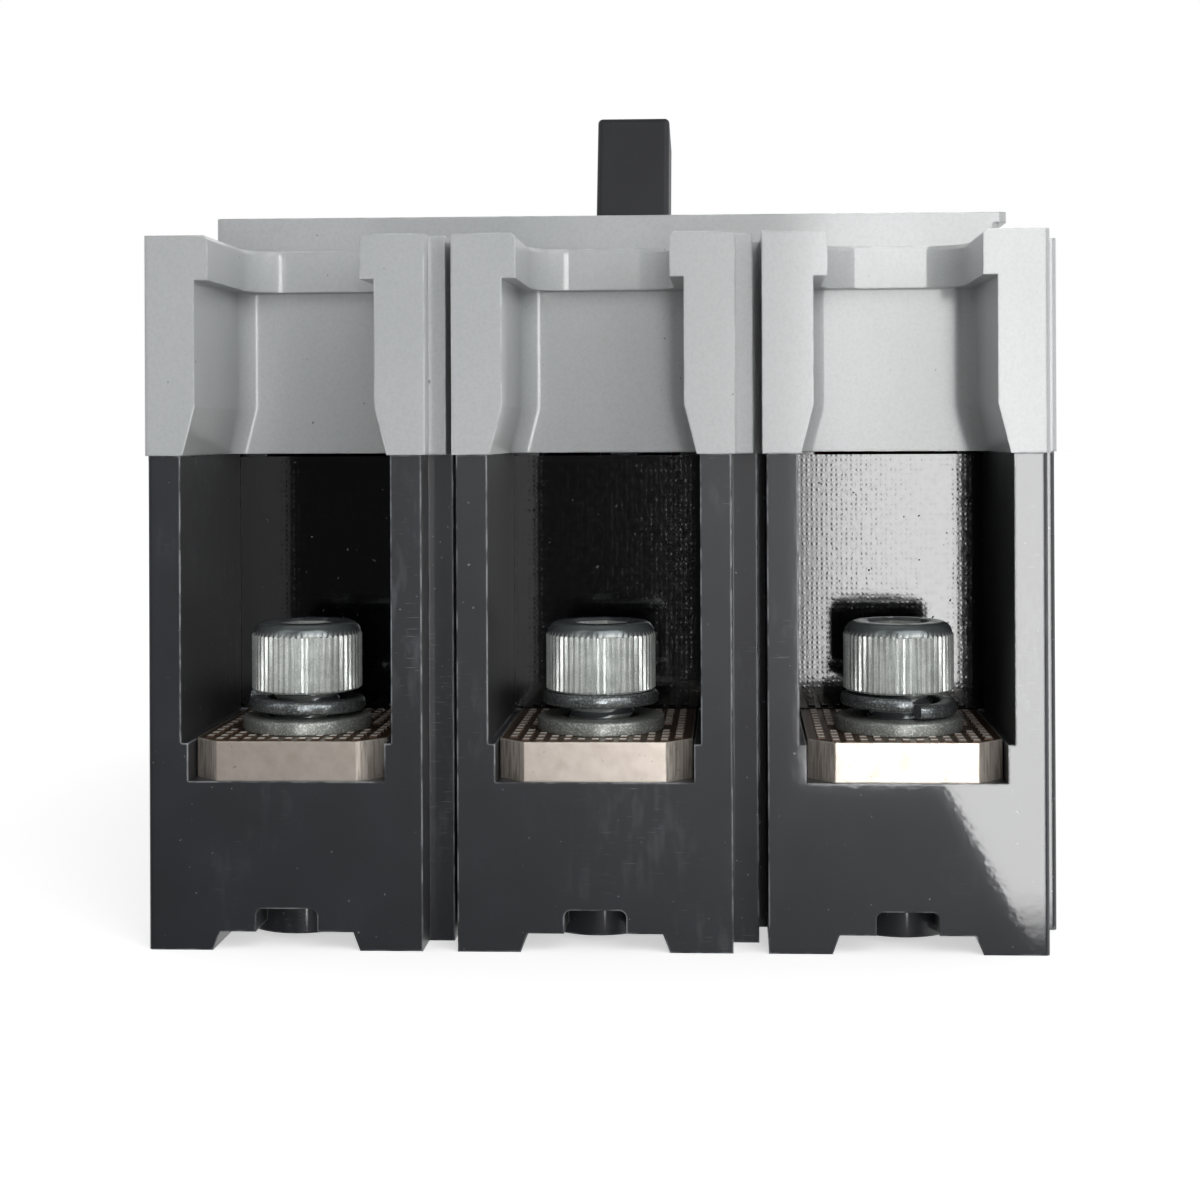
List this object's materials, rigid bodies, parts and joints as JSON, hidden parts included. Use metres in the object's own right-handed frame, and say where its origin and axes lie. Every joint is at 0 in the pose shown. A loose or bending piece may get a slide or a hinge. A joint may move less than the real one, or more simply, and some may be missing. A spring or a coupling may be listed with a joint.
{
  "type": "three pole circuit breaker",
  "caption": "Moulded case three pole circuit breaker with toggle handle, recessed screw terminals at both ends and barrier slots between poles.",
  "frame": {"origin": "centre of the mounting face, on the plane the feet stand on", "axes": "+Z from the mounting face to the handle, +X across the poles from pole 1 to pole 3, +Y from the line end to the load end"},
  "size_m": [0.1072, 0.165, 0.109],
  "materials": {
    "cover_plastic": "light grey moulded thermoset, fine matt",
    "base_plastic": "charcoal moulded thermoset, semi-gloss",
    "handle_plastic": "matt near black moulded plastic",
    "fibre_plate": "glossy black insulating sheet with a fine weave",
    "chute_fibre": "vulcanised fibre, red brown",
    "tinned_copper": "tin plated copper, warm dull silver",
    "copper": "bare copper",
    "zinc_steel": "bright zinc plated steel",
    "silver": "silver tungsten contact",
    "moulded_red": "dull red moulded thermoset",
    "button_red": "red moulded plastic",
    "spring_steel": "oiled spring steel",
    "bimetal": "rolled bimetal strip"
  },
  "bodies": {
    "case": {"base": "base_plastic", "cover": "cover_plastic", "front_panel": "cover_plastic", "cover_screws": "zinc_steel", "panel_screws": "zinc_steel", "line_insulating_plates": "fibre_plate", "load_insulating_plates": "fibre_plate", "line_terminal_1": "tinned_copper", "line_terminal_2": "tinned_copper", "line_terminal_3": "tinned_copper", "load_terminal_1": "tinned_copper", "load_terminal_2": "tinned_copper", "load_terminal_3": "tinned_copper", "terminal_screws": "zinc_steel", "spring_washers": "zinc_steel", "flat_washers": "zinc_steel", "terminal_nuts": "zinc_steel", "fixed_contact_tips": "silver", "bearing_caps": "base_plastic", "left_side_plate": "zinc_steel", "right_side_plate": "zinc_steel", "mechanism_screws": "zinc_steel", "mechanism_pins": "spring_steel", "cradle": "spring_steel", "toggle_springs": "spring_steel", "button_spring": "spring_steel", "arc_plates_1": "zinc_steel", "arc_plates_2": "zinc_steel", "arc_plates_3": "zinc_steel", "arc_chute_sides": "chute_fibre", "bimetal_1": "bimetal", "bimetal_2": "bimetal", "bimetal_3": "bimetal", "calibration_screws": "zinc_steel", "magnet_yokes": "spring_steel", "flexible_braid_1": "copper", "flexible_braid_2": "copper", "flexible_braid_3": "copper"},
    "handle": {"handle": "handle_plastic", "handle_yoke": "zinc_steel", "spring_pin": "spring_steel"},
    "dust_shield": {"dust_shield": "handle_plastic"},
    "crossbar": {"crossbar": "moulded_red", "moving_contact_1": "copper", "moving_contact_2": "copper", "moving_contact_3": "copper", "moving_contact_tips": "silver", "arm_pins": "spring_steel", "lever_pin": "spring_steel"},
    "lower_links": {"lower_links": "spring_steel", "knee_pin": "spring_steel"},
    "upper_links": {"upper_links": "spring_steel"},
    "trip_bar": {"trip_bar": "moulded_red", "latch_plate": "spring_steel"},
    "trip_button": {"trip_button": "button_red"},
    "armature_1": {"armature_1": "spring_steel"},
    "armature_2": {"armature_2": "spring_steel"},
    "armature_3": {"armature_3": "spring_steel"}
  },
  "joints": [
    {"name": "handle_turn", "type": "hinge", "parent": "case", "child": "handle", "pos_m": [0, 0, 0.052], "axis": [1, 0, 0], "range_deg": [-4, 34], "deforming": ["toggle_springs"]},
    {"name": "dust_shield_slide", "type": "slide", "parent": "case", "child": "dust_shield", "axis": [0, 1, 0], "range_m": [-0.01945, 0.0023]},
    {"name": "crossbar_turn", "type": "hinge", "parent": "case", "child": "crossbar", "pos_m": [0, 0.006, 0.027], "axis": [1, 0, 0], "range_deg": [-3.07, 26.01], "deforming": ["flexible_braid_1", "flexible_braid_2", "flexible_braid_3"]},
    {"name": "lower_links_turn", "type": "hinge", "parent": "crossbar", "child": "lower_links", "pos_m": [0, -0.00257, 0.03452], "axis": [1, 0, 0], "range_deg": [-7.98, 0.95]},
    {"name": "upper_links_turn", "type": "hinge", "parent": "case", "child": "upper_links", "pos_m": [0, -0.004, 0.056], "axis": [1, 0, 0], "range_deg": [-26.18, 3.09]},
    {"name": "trip_button_press", "type": "slide", "parent": "case", "child": "trip_button", "axis": [0, 0, -1], "range_m": [0, 0.0015], "stiffness_N_per_m": 300, "springref_m": -0.001, "deforming": ["button_spring"]},
    {"name": "trip_bar_turn", "type": "hinge", "parent": "case", "child": "trip_bar", "pos_m": [0, 0.03, 0.056], "axis": [-1, 0, 0], "range_deg": [0, 13.01]},
    {"name": "armature_turn_1", "type": "hinge", "parent": "case", "child": "armature_1", "pos_m": [-0.035, 0.0376, 0.0245], "axis": [1, 0, 0], "range_deg": [0, 5], "stiffness_Nm_per_rad": 0.02, "springref_deg": -2.86},
    {"name": "armature_turn_2", "type": "hinge", "parent": "case", "child": "armature_2", "pos_m": [0, 0.0376, 0.0245], "axis": [1, 0, 0], "range_deg": [0, 5], "stiffness_Nm_per_rad": 0.02, "springref_deg": -2.86},
    {"name": "armature_turn_3", "type": "hinge", "parent": "case", "child": "armature_3", "pos_m": [0.035, 0.0376, 0.0245], "axis": [1, 0, 0], "range_deg": [0, 5], "stiffness_Nm_per_rad": 0.02, "springref_deg": -2.86}
  ],
  "couplings": [
    {"joint": "dust_shield_slide", "follows": "handle_turn", "m_per_rad": -0.032767},
    {"joint": "crossbar_turn", "follows": "handle_turn", "ratio": 0.76471},
    {"joint": "lower_links_turn", "follows": "handle_turn", "ratio": -0.2343},
    {"joint": "upper_links_turn", "follows": "handle_turn", "ratio": -0.7696},
    {"joint": "trip_bar_turn", "follows": "trip_button_press", "rad_per_m": 151.26}
  ]
}
